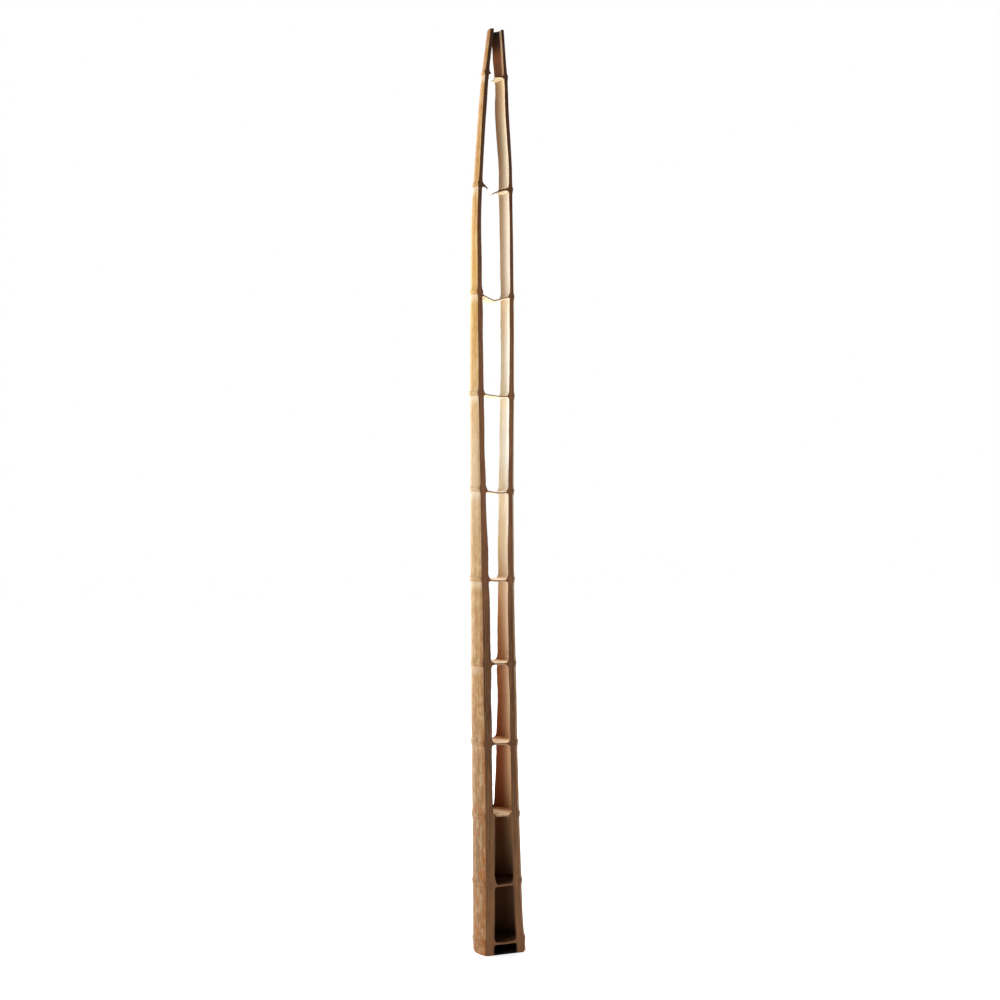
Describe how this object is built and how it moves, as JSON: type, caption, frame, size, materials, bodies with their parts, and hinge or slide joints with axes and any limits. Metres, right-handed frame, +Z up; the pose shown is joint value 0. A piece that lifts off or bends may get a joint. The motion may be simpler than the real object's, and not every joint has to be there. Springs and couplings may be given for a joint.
{
  "type": "bamboo torch pole",
  "caption": "Tall bamboo garden torch pole sawn open into two side staves held apart by the culm's own diaphragms, with two free springy tips",
  "frame": {"origin": "middle of the outline box on the ground, under the culm", "axes": "+Z up the pole, +X to the right of the front saw cut, +Y to the back"},
  "size_m": [0.1105, 0.0751, 1.8],
  "materials": {
    "butt_culm": "weathered grey-tan bamboo skin with orange-brown blotches, satin; sawn faces matte brown",
    "stave": "honey to straw bamboo skin, satin wax sheen; sawn faces brown with fine fibres; pale smooth bore",
    "node_ring": "ridged bamboo node with a pale wax band, satin",
    "diaphragm": "thin pale cream bamboo diaphragm with a torn or sawn fibrous edge, matte"
  },
  "bodies": {
    "culm": {"butt_stub": "butt_culm", "diaphragm_01": "diaphragm", "diaphragm_02": "diaphragm", "diaphragm_03": "diaphragm", "diaphragm_04": "diaphragm", "diaphragm_05": "diaphragm", "diaphragm_06": "diaphragm", "diaphragm_07": "diaphragm", "diaphragm_08": "diaphragm", "diaphragm_09": "diaphragm", "internode_wall_01": "butt_culm", "internode_wall_02": "butt_culm", "node_ring_01": "node_ring", "node_ring_02": "node_ring", "node_ring_03": "node_ring", "node_ring_04_left": "node_ring", "node_ring_04_right": "node_ring", "node_ring_05_left": "node_ring", "node_ring_05_right": "node_ring", "node_ring_06_left": "node_ring", "node_ring_06_right": "node_ring", "node_ring_07_left": "node_ring", "node_ring_07_right": "node_ring", "node_ring_08_left": "node_ring", "node_ring_08_right": "node_ring", "node_ring_09_left": "node_ring", "node_ring_09_right": "node_ring", "stave_03_left": "stave", "stave_03_right": "stave", "stave_04_left": "stave", "stave_04_right": "stave", "stave_05_left": "stave", "stave_05_right": "stave", "stave_06_left": "stave", "stave_06_right": "stave", "stave_07_left": "stave", "stave_07_right": "stave", "stave_08_left": "stave", "stave_08_right": "stave"},
    "left_tip": {"stave_09_left": "stave", "node_ring_10_left": "node_ring", "torn_diaphragm_10_left": "diaphragm", "stave_10_left": "stave", "node_ring_11_left": "node_ring", "torn_diaphragm_11_left": "diaphragm", "tip_left": "stave"},
    "right_tip": {"stave_09_right": "stave", "node_ring_10_right": "node_ring", "torn_diaphragm_10_right": "diaphragm", "stave_10_right": "stave", "node_ring_11_right": "node_ring", "torn_diaphragm_11_right": "diaphragm", "tip_right": "stave"}
  },
  "joints": [
    {"name": "left_tip_flex", "type": "hinge", "parent": "culm", "child": "left_tip", "pos_m": [-0.04333, -0.005, 1.29495], "axis": [0, 1, 0], "range_deg": [-3, 0.2], "stiffness_Nm_per_rad": 150},
    {"name": "right_tip_flex", "type": "hinge", "parent": "culm", "child": "right_tip", "pos_m": [0.02239, -0.005, 1.28795], "axis": [0, -1, 0], "range_deg": [-3, 0.2], "stiffness_Nm_per_rad": 150}
  ]
}
